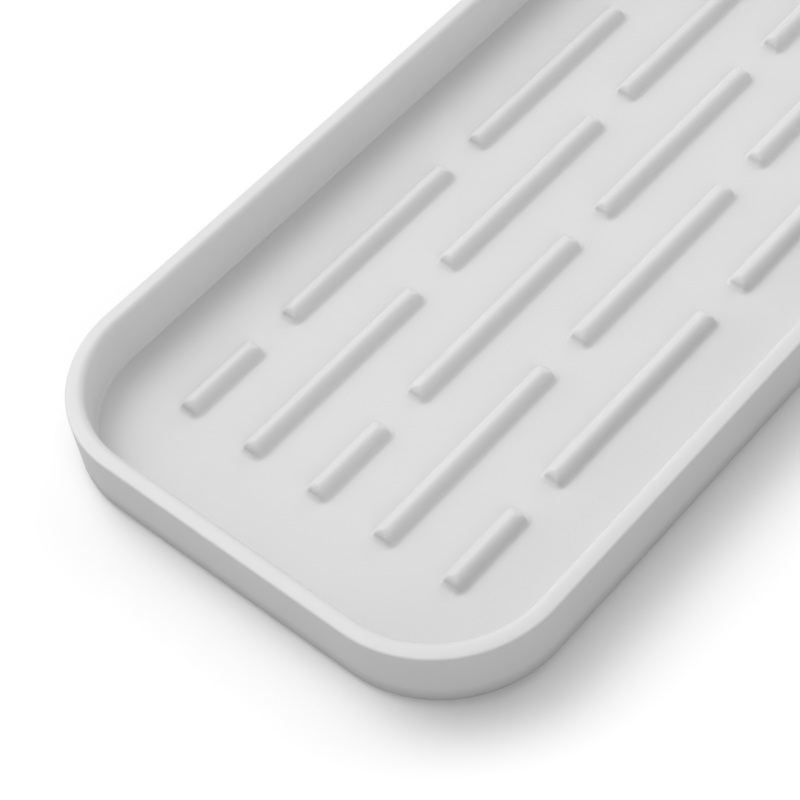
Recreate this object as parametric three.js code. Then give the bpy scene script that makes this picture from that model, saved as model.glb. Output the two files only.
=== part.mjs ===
// A shallow silicone drip tray for soap and sponges: a rounded slab with a low wall round its edge
// and lanes of half-round ribs that keep what stands on it out of the water.
//
// Millimetres, +Z up. X runs along the tray and Y across it. The origin is on the underside, in the
// middle of the tray.

import * as THREE from "three";

// The whole tray
const TRAY_WIDTH = 120;
const TRAY_HEIGHT = 16.2;
const FLOOR_THICKNESS = 4.2;
const CORNER_RADIUS = 28;
const BOTTOM_EDGE_RADIUS = 2.4;

// The wall round the edge. Its top is crowned: level beside the inner edge, and falling a little outwards.
const RIM_THICKNESS = 4; // at the top
const RIM_CROWN_RADIUS = 12;
const RIM_OUTER_EDGE_RADIUS = 0.5;
const RIM_INNER_EDGE_RADIUS = 1.5;
const INNER_DRAFT = 0.1; // how far the inner face leans in from its top to the floor

// The ribs: long ones end to end in every lane, with the odd lanes shifted by half a step
const RIB_WIDTH = 4.5;
const RIB_HEIGHT = 2.6;
const RIB_END_RADIUS = 1; // where the flat end runs into the rounded top
const RIB_LENGTH = 53;
const RIB_GAP = 9;
const SHORT_RIB_LENGTH = (RIB_LENGTH - RIB_GAP) / 2;
const RIBS_PER_LANE = 3; // long ribs in a lane that has no short ones
const LANES = ["a", "b", "c", "d", "e"];
const LANE_PITCH = 17.85;
const END_MARGIN = 24.6; // from the tray's end to the first rib

const RIB_FIELD_LENGTH = RIBS_PER_LANE * RIB_LENGTH + (RIBS_PER_LANE - 1) * RIB_GAP;
const TRAY_LENGTH = RIB_FIELD_LENGTH + 2 * END_MARGIN;
const CORE_LENGTH = TRAY_LENGTH - 2 * CORNER_RADIUS; // between the centres of the corners
const CORE_WIDTH = TRAY_WIDTH - 2 * CORNER_RADIUS;

// How finely the curves are divided
const CORNER_STEPS = 12; // each quarter turn of the tray's outline
const EDGE_STEPS = 3; // each rounded edge of a profile
const RIB_END_STEPS = 3; // the rounding at a rib's end
const RIB_SIDES = 10; // over a rib, from one foot to the other

const SILICONE_COLOUR = 0xd9d9d9;
const SILICONE_ROUGHNESS = 0.55;

function silicone() {
  return new THREE.MeshStandardMaterial({
    color: SILICONE_COLOUR,
    roughness: SILICONE_ROUGHNESS,
    metalness: 0,
  });
}

// Points on an arc round (x, y), from one angle to another in quarter turns.
function arc(x, y, radius, fromQuarter, toQuarter) {
  const points = [];
  for (let step = 0; step <= EDGE_STEPS; step++) {
    const quarter = fromQuarter + ((toQuarter - fromQuarter) * step) / EDGE_STEPS;
    const angle = (quarter * Math.PI) / 2;
    points.push(new THREE.Vector2(x + radius * Math.cos(angle), y + radius * Math.sin(angle)));
  }
  return points;
}

// The centres of the four corners, anticlockwise from the back right one.
const CORNERS = [
  { name: "back_right", x: CORE_LENGTH / 2, y: CORE_WIDTH / 2 },
  { name: "back_left", x: -CORE_LENGTH / 2, y: CORE_WIDTH / 2 },
  { name: "front_left", x: -CORE_LENGTH / 2, y: -CORE_WIDTH / 2 },
  { name: "front_right", x: CORE_LENGTH / 2, y: -CORE_WIDTH / 2 },
];
const SIDES = ["back", "left", "front", "right"]; // each one runs from the corner in the same place above

// Where a section stands as it is carried round a corner: over the corner's centre, facing outwards.
function cornerStations(index) {
  const { x, y } = CORNERS[index];
  const stations = [];
  for (let step = 0; step <= CORNER_STEPS; step++) {
    stations.push({ x, y, turn: ((index + step / CORNER_STEPS) * Math.PI) / 2 });
  }
  return stations;
}

// Where a section stands at the two ends of the straight side that follows a corner.
function sideStations(index) {
  const turn = ((index + 1) * Math.PI) / 2;
  const from = CORNERS[index];
  const to = CORNERS[(index + 1) % CORNERS.length];
  return [
    { x: from.x, y: from.y, turn },
    { x: to.x, y: to.y, turn },
  ];
}

// The points of a section at each of its stations in turn, as a flat list of coordinates. A point's x
// is its reach outwards from the station and its y is its height.
function standSection(section, stations) {
  return stations.flatMap((station) =>
    section.flatMap((point) => [
      station.x + point.x * Math.cos(station.turn),
      station.y + point.x * Math.sin(station.turn),
      point.y,
    ]),
  );
}

// Joins each section to the next one with a strip of triangles.
function joinSections(pointCount, stationCount) {
  const index = [];
  for (let station = 0; station < stationCount - 1; station++) {
    for (let point = 0; point < pointCount; point++) {
      const near = station * pointCount + point;
      const nearNext = station * pointCount + ((point + 1) % pointCount);
      index.push(near, near + pointCount, nearNext);
      index.push(nearNext, near + pointCount, nearNext + pointCount);
    }
  }
  return index;
}

function meshOf(positions, index) {
  const geometry = new THREE.BufferGeometry();
  geometry.setAttribute("position", new THREE.Float32BufferAttribute(positions, 3));
  geometry.setIndex(index);
  geometry.computeVertexNormals();
  return geometry;
}

// A length of wall: its closed section carried from station to station, with both ends closed.
function wall(section, stations) {
  const index = joinSections(section.length, stations.length);
  const lastSection = (stations.length - 1) * section.length;
  for (const [a, b, c] of THREE.ShapeUtils.triangulateShape(section, [])) {
    index.push(a, b, c);
    index.push(lastSection + a, lastSection + c, lastSection + b);
  }
  return meshOf(standSection(section, stations), index);
}

// A slab: layers of the tray's outline, each with a reach and a height, closed by a flat bottom and top.
function slab(layers) {
  const stations = CORNERS.flatMap((corner, index) => cornerStations(index));
  const positions = layers.flatMap((layer) => standSection([layer], stations));
  const index = [];
  for (let layer = 0; layer < layers.length - 1; layer++) {
    for (let station = 0; station < stations.length; station++) {
      const low = layer * stations.length + station;
      const lowNext = layer * stations.length + ((station + 1) % stations.length);
      index.push(low, lowNext, low + stations.length);
      index.push(lowNext, lowNext + stations.length, low + stations.length);
    }
  }
  const top = (layers.length - 1) * stations.length;
  for (let station = 1; station < stations.length - 1; station++) {
    index.push(0, station + 1, station);
    index.push(top, top + station, top + station + 1);
  }
  return meshOf(positions, index);
}

function trayFloor() {
  const edgeCentre = CORNER_RADIUS - BOTTOM_EDGE_RADIUS;
  return slab([
    ...arc(edgeCentre, BOTTOM_EDGE_RADIUS, BOTTOM_EDGE_RADIUS, -1, 0),
    new THREE.Vector2(CORNER_RADIUS, FLOOR_THICKNESS),
  ]);
}

// The wall's section. The outer edge, the crown and the inner edge are three arcs that run smoothly
// into each other.
function rimSection() {
  const innerTop = CORNER_RADIUS - RIM_THICKNESS;
  const crownStart = innerTop + RIM_INNER_EDGE_RADIUS;
  const outerCentre = CORNER_RADIUS - RIM_OUTER_EDGE_RADIUS;
  const crownToOuter = RIM_CROWN_RADIUS - RIM_OUTER_EDGE_RADIUS;
  const crownCentreHeight = TRAY_HEIGHT - RIM_CROWN_RADIUS;
  const crownTilt = Math.asin((outerCentre - crownStart) / crownToOuter);
  const outerCentreHeight = crownCentreHeight + crownToOuter * Math.cos(crownTilt);
  const crownQuarter = 1 - crownTilt / (Math.PI / 2);
  return [
    new THREE.Vector2(CORNER_RADIUS, FLOOR_THICKNESS),
    ...arc(outerCentre, outerCentreHeight, RIM_OUTER_EDGE_RADIUS, 0, crownQuarter),
    ...arc(crownStart, crownCentreHeight, RIM_CROWN_RADIUS, crownQuarter, 1).slice(1),
    ...arc(crownStart, TRAY_HEIGHT - RIM_INNER_EDGE_RADIUS, RIM_INNER_EDGE_RADIUS, 1, 2).slice(1),
    new THREE.Vector2(innerTop - INNER_DRAFT, FLOOR_THICKNESS),
  ];
}

// The wall in four corners and four straight sides, so that no length of it closes round the hollow.
function rim() {
  const section = rimSection();
  const group = new THREE.Group();
  CORNERS.forEach((corner, index) => {
    group.add(named(`rim_corner_${corner.name}`, wall(section, cornerStations(index))));
    group.add(named(`rim_side_${SIDES[index]}`, wall(section, sideStations(index))));
  });
  return group;
}

// How far the rounding at a rib's end is from the end, and how much smaller the rib is there.
function ribEndStations() {
  const stations = [];
  for (let step = 0; step <= RIB_END_STEPS; step++) {
    const angle = ((step / RIB_END_STEPS) * Math.PI) / 2;
    stations.push({
      fromEnd: RIB_END_RADIUS * (1 - Math.cos(angle)),
      inset: RIB_END_RADIUS * (1 - Math.sin(angle)),
    });
  }
  return stations;
}

// A half-round bar with flat ends, lying along X on the plane z = 0.
function rib(length) {
  const ends = ribEndStations();
  const stations = [
    ...ends.map(({ fromEnd, inset }) => ({ x: fromEnd - length / 2, inset })),
    ...ends.map(({ fromEnd, inset }) => ({ x: length / 2 - fromEnd, inset })).reverse(),
  ];
  const positions = [];
  for (const { x, inset } of stations) {
    for (let side = 0; side <= RIB_SIDES; side++) {
      const angle = (side / RIB_SIDES) * Math.PI;
      const y = -(RIB_WIDTH / 2 - inset) * Math.cos(angle);
      const z = side === RIB_SIDES ? 0 : (RIB_HEIGHT - inset) * Math.sin(angle);
      positions.push(x, y, z);
    }
  }
  const sectionPoints = RIB_SIDES + 1;
  const lastSection = (stations.length - 1) * sectionPoints;
  const index = joinSections(sectionPoints, stations.length);
  for (let side = 1; side < RIB_SIDES; side++) {
    index.push(0, side, side + 1);
    index.push(lastSection, lastSection + side + 1, lastSection + side);
  }
  return meshOf(positions, index);
}

function ribLengths(laneIndex) {
  if (laneIndex % 2 === 1) {
    return Array(RIBS_PER_LANE).fill(RIB_LENGTH);
  }
  return [SHORT_RIB_LENGTH, ...Array(RIBS_PER_LANE - 1).fill(RIB_LENGTH), SHORT_RIB_LENGTH];
}

function lane(name, laneIndex) {
  const group = new THREE.Group();
  group.position.set(0, (LANES.length - 1) * LANE_PITCH / 2 - laneIndex * LANE_PITCH, FLOOR_THICKNESS);
  let start = -RIB_FIELD_LENGTH / 2;
  ribLengths(laneIndex).forEach((length, place) => {
    const mesh = new THREE.Mesh(rib(length), silicone());
    mesh.name = `drain_rib_${name}${place + 1}`;
    mesh.position.x = start + length / 2;
    group.add(mesh);
    start += length + RIB_GAP;
  });
  return group;
}

function named(name, geometry) {
  const mesh = new THREE.Mesh(geometry, silicone());
  mesh.name = name;
  return mesh;
}

const tray = new THREE.Group();
tray.name = "drip_tray";
tray.add(named("tray_floor", trayFloor()));
tray.add(rim());
LANES.forEach((name, laneIndex) => tray.add(lane(name, laneIndex)));

export default tray;
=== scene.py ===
"""Looks for a ribbed silicone drip tray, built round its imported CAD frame.

Metres, +Z up, X along the tray, origin on the underside in the middle, as in the CAD model.
"""

import math

import bmesh
import bpy
from mathutils import Matrix, Vector


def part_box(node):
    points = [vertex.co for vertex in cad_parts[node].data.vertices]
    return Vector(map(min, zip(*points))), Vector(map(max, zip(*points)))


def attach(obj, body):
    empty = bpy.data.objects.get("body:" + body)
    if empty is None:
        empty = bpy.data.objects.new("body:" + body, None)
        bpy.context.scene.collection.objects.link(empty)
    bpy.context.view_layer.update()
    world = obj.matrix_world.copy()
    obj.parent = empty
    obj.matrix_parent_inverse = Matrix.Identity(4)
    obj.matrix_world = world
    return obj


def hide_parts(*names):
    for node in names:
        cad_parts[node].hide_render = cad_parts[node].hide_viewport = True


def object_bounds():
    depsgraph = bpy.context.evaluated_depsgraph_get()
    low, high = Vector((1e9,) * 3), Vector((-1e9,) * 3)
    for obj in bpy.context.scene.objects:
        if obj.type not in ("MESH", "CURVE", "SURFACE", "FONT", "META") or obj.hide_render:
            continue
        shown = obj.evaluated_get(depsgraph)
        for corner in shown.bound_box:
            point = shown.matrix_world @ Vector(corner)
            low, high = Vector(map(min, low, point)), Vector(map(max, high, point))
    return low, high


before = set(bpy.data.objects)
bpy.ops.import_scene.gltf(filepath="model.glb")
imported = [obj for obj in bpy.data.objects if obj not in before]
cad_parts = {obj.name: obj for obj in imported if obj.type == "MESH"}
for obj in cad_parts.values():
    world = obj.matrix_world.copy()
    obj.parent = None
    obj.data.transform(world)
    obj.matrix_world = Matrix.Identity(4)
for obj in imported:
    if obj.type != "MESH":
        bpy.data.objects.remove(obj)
cad_low, cad_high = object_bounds()

MM = 0.001

# The tray's section
CORNER_RADIUS = 28 * MM
BOTTOM_EDGE_RADIUS = 2.4 * MM
RIM_THICKNESS = 4 * MM
RIM_CROWN_RADIUS = 12 * MM
RIM_OUTER_EDGE_RADIUS = 0.5 * MM
RIM_INNER_EDGE_RADIUS = 1.5 * MM
INNER_DRAFT = 0.1 * MM
INNER_FOOT_RADIUS = 0.5 * MM

# The ribs: seen from the side, an end is rounded over, and from above it is square with small corners
RIB_END_RADIUS = 2 * MM
RIB_END_INSET = 0.5 * MM
RIB_CORNER_RADIUS = 0.8 * MM
RIB_FOOT_RADIUS = 1.15 * MM
RIB_SUNK = 0.1 * MM

# How finely the meshes are divided
CORNER_STEPS = 48
EDGE_STEPS = 8
STRAIGHT_STEP = 4 * MM
RIB_CORNER_STEPS = 10
RIB_SECTION_STEPS = 24

# How close two points are merged, how short an edge is dropped, how sharp an edge is still smoothed, and
# how often the search for a fillet's start halves its range
SAME_POINT = 1e-7
SHORTEST_EDGE = 1e-8
SHARPEST_SMOOTH = math.radians(60)
HALVINGS = 40

# Camera, with its lens and sensor in millimetres
CAMERA_TARGET = Vector((cad_low.x + 55.57 * MM, 4.32 * MM, 0.5 * MM))
CAMERA_AZIMUTH = math.radians(-41.08)
CAMERA_ELEVATION = math.radians(51.79)
CAMERA_ROLL = math.radians(-10.02)
CAMERA_DISTANCE = 472.12 * MM
CAMERA_LENS = 102.52
CAMERA_SENSOR = 36
CAMERA_NEAR = 0.01
CAMERA_FAR = 50

# Silicone: tones and roughnesses, then the sizes and depths of what varies over its surface
SILICONE_TONE = 0.62
SILICONE_ROUGHNESS = 0.5
RUBBED_ROUGHNESS = 0.42
SILICONE_IOR = 1.41
SCATTER_SHARE = 0.15
SCATTER_DEPTH = 1.2 * MM
NOISE_ROUGHNESS = 0.55
NOISE_LOW = 0.3
NOISE_HIGH = 0.7
CLOUD_SIZE = 30 * MM
CLOUD_DETAIL = 3
CLOUD_DEPTH = 0.006
SMEAR_SIZE = 14 * MM
SMEAR_DETAIL = 4
SMEAR_DEPTH = 0.03
RIPPLE_SIZE = 5 * MM
RIPPLE_DETAIL = 2
RIPPLE_DEPTH = 0.03 * MM
GRAIN_SIZE = 0.35 * MM
GRAIN_DETAIL = 2
GRAIN_DEPTH = 0.006 * MM
SPECK_SPACING = 9 * MM
SPECK_RADIUS = 0.12 * MM
SPECK_CORE = 0.5
SPECK_SHARE = 0.25
SPECK_DEPTH = 0.16

# The painted shade on the outer foot: how high it reaches, its tone at the bottom as a share of the rest,
# and how far out from the wall's inner face the outside begins and is reached in full
PAINTED_FOOT_SHADE_REACH = 5.5 * MM
PAINTED_FOOT_SHADE_SHARE = 0.6
PAINTED_SHADE_OUTSIDE_BEGINS = 1 * MM
PAINTED_SHADE_OUTSIDE_FULL = 1.5 * MM

# Light: softboxes as (elevation, azimuth from +X towards +Y, strength), in degrees
SOFTBOXES = [
    (52, 80, 5.85),
    (10, 280, 1.1),
    (10, 120, 2.77),
    (30, 252, 2.9),
    (30, 0, 2.74),
    (10, 160, 1.9),
]
SOFTBOX_FALL = 14

# What the camera sees of the backdrop and the floor, and the tone that the floor lights the tray with
BACKDROP_TONE = 0.95
FLOOR_TONE = 0.92
FLOOR_BOUNCE = 0.47
FLOOR_ROUGHNESS = 0.9
FLOOR_HALF_WIDTH = 3


def make_camera():
    data = bpy.data.cameras.new("camera")
    data.lens = CAMERA_LENS
    data.sensor_width = CAMERA_SENSOR
    data.clip_start = CAMERA_NEAR
    data.clip_end = CAMERA_FAR
    camera = bpy.data.objects.new("camera", data)
    bpy.context.scene.collection.objects.link(camera)
    turn = (
        Matrix.Rotation(CAMERA_AZIMUTH, 4, "Z")
        @ Matrix.Rotation(math.pi / 2 - CAMERA_ELEVATION, 4, "X")
        @ Matrix.Rotation(CAMERA_ROLL, 4, "Z")
    )
    back = turn.to_3x3() @ Vector((0, 0, 1))
    camera.matrix_world = Matrix.Translation(CAMERA_TARGET + back * CAMERA_DISTANCE) @ turn
    bpy.context.scene.camera = camera


def arc(x, z, radius, from_quarter, to_quarter):
    """Points on an arc round (x, z), from one angle to another in quarter turns."""
    points = []
    for step in range(EDGE_STEPS + 1):
        angle = (from_quarter + (to_quarter - from_quarter) * step / EDGE_STEPS) * math.pi / 2
        points.append((x + radius * math.cos(angle), z + radius * math.sin(angle)))
    return points


def ring(core_x, core_y, radius, straight_x, straight_y, corner_steps):
    """A level outline at a distance from a core rectangle, as (x, y) points, anticlockwise."""
    corners = [(1, 1), (-1, 1), (-1, -1), (1, -1)]
    points = []
    for index, (side_x, side_y) in enumerate(corners):
        for step in range(corner_steps + 1):
            angle = (index + step / corner_steps) * math.pi / 2
            x = side_x * core_x + radius * math.cos(angle)
            y = side_y * core_y + radius * math.sin(angle)
            points.append((x, y))
        next_x, next_y = corners[(index + 1) % 4]
        start = points[-1]
        span_x = (next_x - side_x) * core_x
        span_y = (next_y - side_y) * core_y
        steps = straight_x if index % 2 == 0 else straight_y
        for step in range(1, steps):
            points.append((start[0] + span_x * step / steps, start[1] + span_y * step / steps))
    return points


def bands(count, levels):
    """The faces between neighbouring outlines, where each outline has this many points."""
    faces = []
    for start in range(0, count * (levels - 1), count):
        for i in range(count):
            near, near_next = start + i, start + (i + 1) % count
            faces.append((near, near_next, near_next + count, near + count))
    return faces


def moulding(name, vertices, faces):
    """Makes a piece. The vertices that fall together are merged, the faces are turned outwards, and all
    but the sharp edges are smoothed."""
    mesh = bpy.data.meshes.new(name)
    mesh.from_pydata(vertices, [], faces)
    work = bmesh.new()
    work.from_mesh(mesh)
    bmesh.ops.remove_doubles(work, verts=work.verts, dist=SAME_POINT)
    bmesh.ops.dissolve_degenerate(work, edges=work.edges, dist=SHORTEST_EDGE)
    bmesh.ops.recalc_face_normals(work, faces=work.faces)
    for face in work.faces:
        face.smooth = True
    for edge in work.edges:
        edge.smooth = edge.calc_face_angle(0) < SHARPEST_SMOOTH
    work.to_mesh(mesh)
    work.free()
    piece = bpy.data.objects.new(name, mesh)
    bpy.context.scene.collection.objects.link(piece)
    return piece


def sweep(name, profile, core_x, core_y):
    """Carries a profile of (distance from the core, height) points round a core rectangle. The profile
    starts and ends at the core, whose own area is filled with a grid at both of those heights."""
    straight_x = max(1, round(2 * core_x / STRAIGHT_STEP))
    straight_y = max(1, round(2 * core_y / STRAIGHT_STEP))
    vertices = []
    for radius, height in profile:
        outline = ring(core_x, core_y, radius, straight_x, straight_y, CORNER_STEPS)
        vertices += [(x, y, height) for x, y in outline]
    faces = bands(len(vertices) // len(profile), len(profile))
    for _, height in (profile[0], profile[-1]):
        first = len(vertices)
        for iy in range(straight_y + 1):
            for ix in range(straight_x + 1):
                x = core_x * (2 * ix / straight_x - 1)
                y = core_y * (2 * iy / straight_y - 1)
                vertices.append((x, y, height))
        for iy in range(straight_y):
            for ix in range(straight_x):
                corner = first + iy * (straight_x + 1) + ix
                faces.append((corner, corner + 1, corner + straight_x + 2, corner + straight_x + 1))
    return moulding(name, vertices, faces)


def tray_shell():
    """The floor and the wall as the one moulding that they really are."""
    floor_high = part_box("tray_floor")[1]
    walls = [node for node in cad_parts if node.startswith("rim_")]
    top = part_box(walls[0])[1].z
    floor_top = floor_high.z
    core_x = floor_high.x - CORNER_RADIUS
    core_y = floor_high.y - CORNER_RADIUS
    inner_top = CORNER_RADIUS - RIM_THICKNESS
    crown_start = inner_top + RIM_INNER_EDGE_RADIUS
    outer_centre = CORNER_RADIUS - RIM_OUTER_EDGE_RADIUS
    crown_to_outer = RIM_CROWN_RADIUS - RIM_OUTER_EDGE_RADIUS
    crown_tilt = math.asin((outer_centre - crown_start) / crown_to_outer)
    crown_quarter = 1 - crown_tilt / (math.pi / 2)
    outer_centre_height = top - RIM_CROWN_RADIUS + crown_to_outer * math.cos(crown_tilt)
    wall_tilt = math.atan2(INNER_DRAFT, top - floor_top)
    wall_quarter = wall_tilt / (math.pi / 2)
    foot_reach = INNER_FOOT_RADIUS * math.tan((math.pi / 2 - wall_tilt) / 2)
    bottom_centre = CORNER_RADIUS - BOTTOM_EDGE_RADIUS
    foot_centre = inner_top - INNER_DRAFT - foot_reach
    profile = [(0, 0)]
    profile += arc(bottom_centre, BOTTOM_EDGE_RADIUS, BOTTOM_EDGE_RADIUS, -1, 0)
    profile += arc(outer_centre, outer_centre_height, RIM_OUTER_EDGE_RADIUS, 0, crown_quarter)
    profile += arc(crown_start, top - RIM_CROWN_RADIUS, RIM_CROWN_RADIUS, crown_quarter, 1)[1:]
    profile += arc(crown_start, top - RIM_INNER_EDGE_RADIUS, RIM_INNER_EDGE_RADIUS, 1, 2 - wall_quarter)[1:]
    profile += arc(foot_centre, floor_top + INNER_FOOT_RADIUS, INNER_FOOT_RADIUS, -wall_quarter, -1)
    profile += [(0, floor_top)]
    shell = sweep("tray_shell", profile, core_x, core_y)
    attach(shell, "root")
    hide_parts("tray_floor", *walls)
    return shell


def rib_levels(half_length, half_width, height):
    """A rib's outlines from its crown down, as (half length, half width, corner radius, height). Its section
    is half an ellipse that runs level into the floor through a fillet. Its ends are rounded over."""

    def normal(turn):
        across, up = math.sin(turn) / half_width, math.cos(turn) / height
        return across / math.hypot(across, up), up / math.hypot(across, up)

    # The fillet starts where its centre is its own radius above the floor
    low, high = 0, math.pi / 2
    for _ in range(HALVINGS):
        turn = (low + high) / 2
        if height * math.cos(turn) + RIB_FOOT_RADIUS * normal(turn)[1] > RIB_FOOT_RADIUS:
            low = turn
        else:
            high = turn
    levels = []
    for step in range(RIB_SECTION_STEPS + 1):
        reach = half_width * math.sin(turn * step / RIB_SECTION_STEPS)
        up = height * math.cos(turn * step / RIB_SECTION_STEPS)
        rise = max(0, up - (height - RIB_END_RADIUS))
        inset = RIB_END_RADIUS - math.sqrt(RIB_END_RADIUS**2 - min(rise, RIB_END_RADIUS) ** 2)
        levels.append((half_length - inset, reach, min(reach, RIB_CORNER_RADIUS), up))
    across, up = normal(turn)
    foot_start = levels[-1][1]
    fillet_centre = foot_start + RIB_FOOT_RADIUS * across
    from_quarter = 2 + math.atan2(up, across) / (math.pi / 2)
    for reach, up in arc(fillet_centre, RIB_FOOT_RADIUS, RIB_FOOT_RADIUS, from_quarter, 3)[1:]:
        spread = reach - foot_start
        levels.append((half_length + spread, reach, RIB_CORNER_RADIUS + spread, up))
    levels.append((*levels[-1][:3], -RIB_SUNK))
    return levels


def rib(node):
    """A half-round bar with square ends, which are set in a little because the fillet at its foot
    spreads beyond them. It goes a little into the floor."""
    low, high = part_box(node)
    centre = Vector(((low.x + high.x) / 2, (low.y + high.y) / 2, low.z))
    straight_x = max(1, round((high.x - low.x) / STRAIGHT_STEP))
    levels = rib_levels((high.x - low.x) / 2 - RIB_END_INSET, (high.y - low.y) / 2, high.z - low.z)
    vertices = []
    for half_length, half_width, radius, up in levels:
        outline = ring(half_length - radius, half_width - radius, radius, straight_x, 1, RIB_CORNER_STEPS)
        vertices += [Vector((x, y, up)) + centre for x, y in outline]
    count = len(vertices) // len(levels)
    underside = tuple(len(vertices) - count + i for i in range(count))
    piece = moulding(node + "_moulded", vertices, [underside] + bands(count, len(levels)))
    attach(piece, "root")
    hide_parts(node)
    return piece


def add_node(tree, kind, settings, inputs):
    """Adds a node, sets its properties and fills its inputs with numbers or with other sockets."""
    node = tree.nodes.new(kind)
    for key, value in settings.items():
        setattr(node, key, value)
    for key, value in inputs.items():
        if isinstance(value, bpy.types.NodeSocket):
            tree.links.new(value, node.inputs[key])
        else:
            node.inputs[key].default_value = value
    return node


def noise(tree, place, size, detail):
    """Noise whose lumps are about this size, as a value from 0 to 1."""
    inputs = {"Vector": place, "Scale": 1 / size, "Detail": detail, "Roughness": NOISE_ROUGHNESS}
    return add_node(tree, "ShaderNodeTexNoise", {}, inputs).outputs["Fac"]


def remap(tree, value, from_min, from_max, to_min, to_max):
    inputs = {"Value": value, "From Min": from_min, "From Max": from_max, "To Min": to_min, "To Max": to_max}
    return add_node(tree, "ShaderNodeMapRange", {}, inputs).outputs["Result"]


def combine(tree, operation, first, second):
    return add_node(tree, "ShaderNodeMath", {"operation": operation}, {0: first, 1: second}).outputs[0]


def combine_vectors(tree, operation, first, second):
    node = add_node(tree, "ShaderNodeVectorMath", {"operation": operation}, {0: first, 1: second})
    return node.outputs["Vector"]


def specks(tree, place):
    """Sparse pin-head specks of dust: 1 on a speck and 0 elsewhere."""
    dots = add_node(tree, "ShaderNodeTexVoronoi", {}, {"Vector": place, "Scale": 1 / SPECK_SPACING})
    edge = SPECK_RADIUS / SPECK_SPACING
    near = remap(tree, dots.outputs["Distance"], edge, SPECK_CORE * edge, 0, 1)
    pick = add_node(tree, "ShaderNodeSeparateColor", {}, {"Color": dots.outputs["Color"]})
    chosen = combine(tree, "GREATER_THAN", pick.outputs["Red"], 1 - SPECK_SHARE)
    return combine(tree, "MULTIPLY", near, chosen)


def painted_foot_shade(tree, place, height):
    """Painted shade on the outside: its tone as a share of the rest, the set foot share at its foot and 1 a
    little way up.
    Inside it is 1 all over."""
    across = add_node(tree, "ShaderNodeVectorMath", {"operation": "ABSOLUTE"}, {0: place}).outputs["Vector"]
    core = (cad_high.x - CORNER_RADIUS, cad_high.y - CORNER_RADIUS, 1)
    beyond = combine_vectors(tree, "SUBTRACT", across, core)
    beyond = combine_vectors(tree, "MAXIMUM", beyond, (0, 0, 0))
    reach = add_node(tree, "ShaderNodeVectorMath", {"operation": "LENGTH"}, {0: beyond}).outputs["Value"]
    inner = CORNER_RADIUS - RIM_THICKNESS
    outside = remap(tree, reach, inner + PAINTED_SHADE_OUTSIDE_BEGINS, inner + PAINTED_SHADE_OUTSIDE_FULL, 0, 1)
    # Painted shade: darkest at the very bottom of the outside, gone at the reach height
    painted_shade = remap(tree, height, 0, PAINTED_FOOT_SHADE_REACH, 1 - PAINTED_FOOT_SHADE_SHARE, 0)
    return combine(tree, "SUBTRACT", 1, combine(tree, "MULTIPLY", painted_shade, outside))


def silicone(name, polish_from, polish_to):
    """Matt moulded silicone. It gets a little smoother between the heights polish_from and polish_to,
    where hands and soap rub it, and its outer foot is darkened with painted shade."""
    material = bpy.data.materials.new(name)
    material.use_nodes = True
    tree = material.node_tree
    shader = tree.nodes["Principled BSDF"]
    place = add_node(tree, "ShaderNodeTexCoord", {}, {}).outputs["Object"]
    height = add_node(tree, "ShaderNodeSeparateXYZ", {}, {"Vector": place}).outputs["Z"]
    clouds = noise(tree, place, CLOUD_SIZE, CLOUD_DETAIL)
    darkest, lightest = SILICONE_TONE - CLOUD_DEPTH, SILICONE_TONE + CLOUD_DEPTH
    tone = remap(tree, clouds, NOISE_LOW, NOISE_HIGH, darkest, lightest)
    dust = combine(tree, "MULTIPLY", specks(tree, place), SPECK_DEPTH)
    tone = combine(tree, "SUBTRACT", tone, dust)
    # Painted shade: the outside of the foot is darkened in the base colour, standing in for the shade there
    tone = combine(tree, "MULTIPLY", tone, painted_foot_shade(tree, place, height))
    tree.links.new(tone, shader.inputs["Base Color"])
    smears = noise(tree, place, SMEAR_SIZE, SMEAR_DETAIL)
    smears = remap(tree, smears, NOISE_LOW, NOISE_HIGH, -SMEAR_DEPTH, SMEAR_DEPTH)
    rubbed = remap(tree, height, polish_from, polish_to, SILICONE_ROUGHNESS, RUBBED_ROUGHNESS)
    tree.links.new(combine(tree, "ADD", rubbed, smears), shader.inputs["Roughness"])
    waves = noise(tree, place, RIPPLE_SIZE, RIPPLE_DETAIL)
    ripple = {"Height": waves, "Distance": RIPPLE_DEPTH, "Strength": 1}
    ripple = add_node(tree, "ShaderNodeBump", {}, ripple).outputs["Normal"]
    grains = noise(tree, place, GRAIN_SIZE, GRAIN_DETAIL)
    grain = {"Height": grains, "Distance": GRAIN_DEPTH, "Strength": 1, "Normal": ripple}
    grain = add_node(tree, "ShaderNodeBump", {}, grain).outputs["Normal"]
    tree.links.new(grain, shader.inputs["Normal"])
    shader.inputs["IOR"].default_value = SILICONE_IOR
    shader.inputs["Subsurface Weight"].default_value = SCATTER_SHARE
    shader.inputs["Subsurface Radius"].default_value = (1, 1, 1)
    shader.inputs["Subsurface Scale"].default_value = SCATTER_DEPTH
    return material


def is_camera_ray(tree):
    return add_node(tree, "ShaderNodeLightPath", {}, {}).outputs["Is Camera Ray"]


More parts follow.
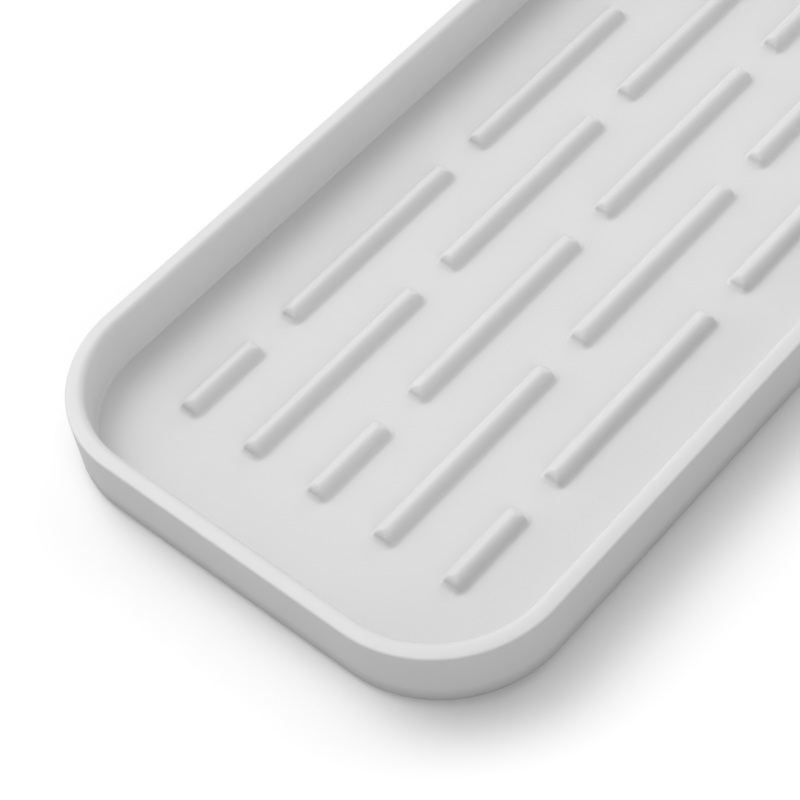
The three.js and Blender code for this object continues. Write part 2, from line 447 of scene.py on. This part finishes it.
def floor():
    """A plain pale floor. What it throws back on the tray is less than what the camera sees of it,
    as on a small sheet of white paper in a darker room."""
    data = bpy.data.meshes.new("floor")
    reach = FLOOR_HALF_WIDTH
    corners = [(-reach, -reach, 0), (reach, -reach, 0), (reach, reach, 0), (-reach, reach, 0)]
    data.from_pydata(corners, [], [(0, 1, 2, 3)])
    piece = bpy.data.objects.new("floor", data)
    bpy.context.scene.collection.objects.link(piece)
    material = bpy.data.materials.new("floor")
    material.use_nodes = True
    tree = material.node_tree
    shader = tree.nodes["Principled BSDF"]
    shader.inputs["Roughness"].default_value = FLOOR_ROUGHNESS
    tone = remap(tree, is_camera_ray(tree), 0, 1, FLOOR_BOUNCE, FLOOR_TONE)
    tree.links.new(tone, shader.inputs["Base Color"])
    data.materials.append(material)


def lights():
    """A world of soft round patches of light, each one a softbox. The camera sees a plain pale backdrop
    instead of them."""
    world = bpy.data.worlds.new("world")
    world.use_nodes = True
    tree = world.node_tree
    direction = add_node(tree, "ShaderNodeTexCoord", {}, {}).outputs["Generated"]
    total = None
    for elevation, azimuth, strength in SOFTBOXES:
        up = math.radians(elevation)
        round_z = math.radians(azimuth)
        middle = (math.cos(up) * math.cos(round_z), math.cos(up) * math.sin(round_z), math.sin(up))
        dot = add_node(tree, "ShaderNodeVectorMath", {"operation": "DOT_PRODUCT"}, {0: direction, 1: middle})
        away = combine(tree, "SUBTRACT", dot.outputs["Value"], 1)
        fall = combine(tree, "EXPONENT", combine(tree, "MULTIPLY", away, SOFTBOX_FALL), 0)
        patch = combine(tree, "MULTIPLY", fall, strength)
        total = patch if total is None else combine(tree, "ADD", total, patch)
    seen = remap(tree, is_camera_ray(tree), 0, 1, total, BACKDROP_TONE)
    background = tree.nodes["Background"]
    background.inputs["Color"].default_value = (1, 1, 1, 1)
    tree.links.new(seen, background.inputs["Strength"])
    bpy.context.scene.world = world
    bpy.context.scene.view_settings.view_transform = "Standard"


make_camera()
rim_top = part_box("rim_side_front")[1].z
rib_foot, rib_top = (corner.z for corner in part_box("drain_rib_a1"))
shell = tray_shell()
shell.data.materials.append(silicone("silicone_tray", rim_top - RIM_INNER_EDGE_RADIUS, rim_top))
rib_material = silicone("silicone_ribs", rib_foot, rib_top)
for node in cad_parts:
    if node.startswith("drain_rib"):
        rib(node).data.materials.append(rib_material)
floor()
lights()
